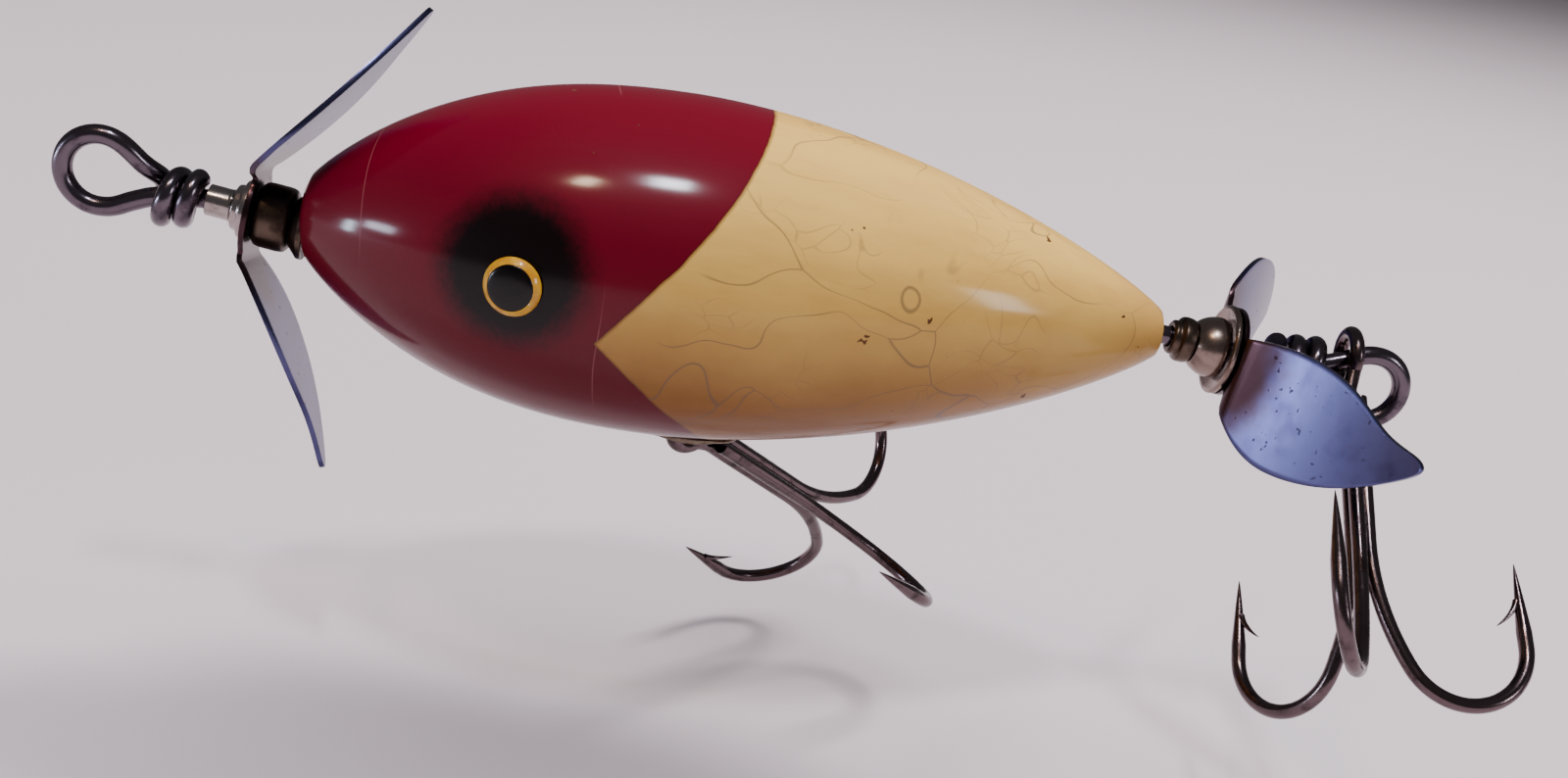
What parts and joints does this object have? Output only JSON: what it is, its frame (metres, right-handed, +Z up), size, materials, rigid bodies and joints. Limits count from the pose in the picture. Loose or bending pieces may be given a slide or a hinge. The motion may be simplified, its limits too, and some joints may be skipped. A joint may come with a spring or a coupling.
{
  "type": "propeller surface fishing lure",
  "caption": "Painted wooden topwater lure with a spinning propeller at each end, a wire line tie and hinged treble hooks.",
  "frame": {"origin": "centre of the front line-tie loop", "axes": "+X from the nose to the tail, +Z up towards the back, +Y to the lure's right side"},
  "size_m": [0.1281, 0.0533, 0.0576],
  "materials": {
    "painted_wood": "glossy red and cream enamel over turned wood, clear coated",
    "wire_steel": "tarnished spring wire",
    "aged_brass": "dull, dark with age",
    "bright_sleeve": "worn nickel plate",
    "blade_steel": "nickel-plated sheet with brown tarnish at the hub",
    "hook_steel": "bronzed hook steel",
    "cup_plate": "pressed and plated",
    "eye_enamel": "black pupil in a yellow ring, glossy"
  },
  "bodies": {
    "lure_body": {"wood_body": "painted_wood", "through_wire": "wire_steel", "nose_cup_washer": "aged_brass", "belly_hook_cup": "cup_plate", "belly_screw_eye": "aged_brass", "left_eye_tack": "eye_enamel", "right_eye_tack": "eye_enamel"},
    "front_bead": {"front_barrel_bead": "aged_brass"},
    "front_prop": {"front_propeller": "blade_steel"},
    "front_step": {"front_step_bead": "aged_brass"},
    "front_tube": {"front_sleeve": "bright_sleeve"},
    "tail_step": {"tail_step_bead": "aged_brass"},
    "tail_dome": {"tail_dome_bead": "aged_brass"},
    "tail_washer": {"tail_cup_washer": "aged_brass"},
    "rear_prop": {"rear_propeller": "blade_steel"},
    "rear_tube": {"rear_sleeve": "bright_sleeve"},
    "belly_treble": {"belly_double_hook": "hook_steel", "belly_single_hook": "hook_steel"},
    "rear_treble": {"rear_double_hook": "hook_steel", "rear_single_hook": "hook_steel"}
  },
  "joints": [
    {"name": "front_bead_spin", "type": "hinge", "parent": "lure_body", "child": "front_bead", "pos_m": [0.01477, 0, -0.00194], "axis": [-0.9914, 0, 0.1305], "continuous": true},
    {"name": "front_prop_spin", "type": "hinge", "parent": "lure_body", "child": "front_prop", "pos_m": [0.01299, 0, -0.00171], "axis": [-0.9914, 0, 0.1305], "continuous": true},
    {"name": "front_step_spin", "type": "hinge", "parent": "lure_body", "child": "front_step", "pos_m": [0.0119, 0, -0.00157], "axis": [-0.9914, 0, 0.1305], "continuous": true},
    {"name": "front_tube_spin", "type": "hinge", "parent": "lure_body", "child": "front_tube", "pos_m": [0.01011, 0, -0.00133], "axis": [-0.9914, 0, 0.1305], "continuous": true},
    {"name": "tail_step_spin", "type": "hinge", "parent": "lure_body", "child": "tail_step", "pos_m": [0.09414, 0, -0.00151], "axis": [0.9928, 0, -0.1201], "continuous": true},
    {"name": "tail_dome_spin", "type": "hinge", "parent": "lure_body", "child": "tail_dome", "pos_m": [0.09652, 0, -0.0018], "axis": [0.9928, 0, -0.1201], "continuous": true},
    {"name": "tail_washer_spin", "type": "hinge", "parent": "lure_body", "child": "tail_washer", "pos_m": [0.09801, 0, -0.00198], "axis": [0.9928, 0, -0.1201], "continuous": true},
    {"name": "rear_prop_spin", "type": "hinge", "parent": "lure_body", "child": "rear_prop", "pos_m": [0.0988, 0, -0.00208], "axis": [0.9928, 0, -0.1201], "continuous": true},
    {"name": "rear_tube_spin", "type": "hinge", "parent": "lure_body", "child": "rear_tube", "pos_m": [0.10019, 0, -0.00224], "axis": [0.9928, 0, -0.1201], "continuous": true},
    {"name": "belly_treble_swing", "type": "hinge", "parent": "lure_body", "child": "belly_treble", "pos_m": [0.05195, 0, -0.01572], "axis": [0.6691, -0.7431, 0], "range_deg": [-115, 3]},
    {"name": "rear_treble_swing", "type": "hinge", "parent": "lure_body", "child": "rear_treble", "pos_m": [0.10988, 0, -0.00128], "axis": [0.9928, 0, -0.1201], "range_deg": [-90, 12]}
  ]
}
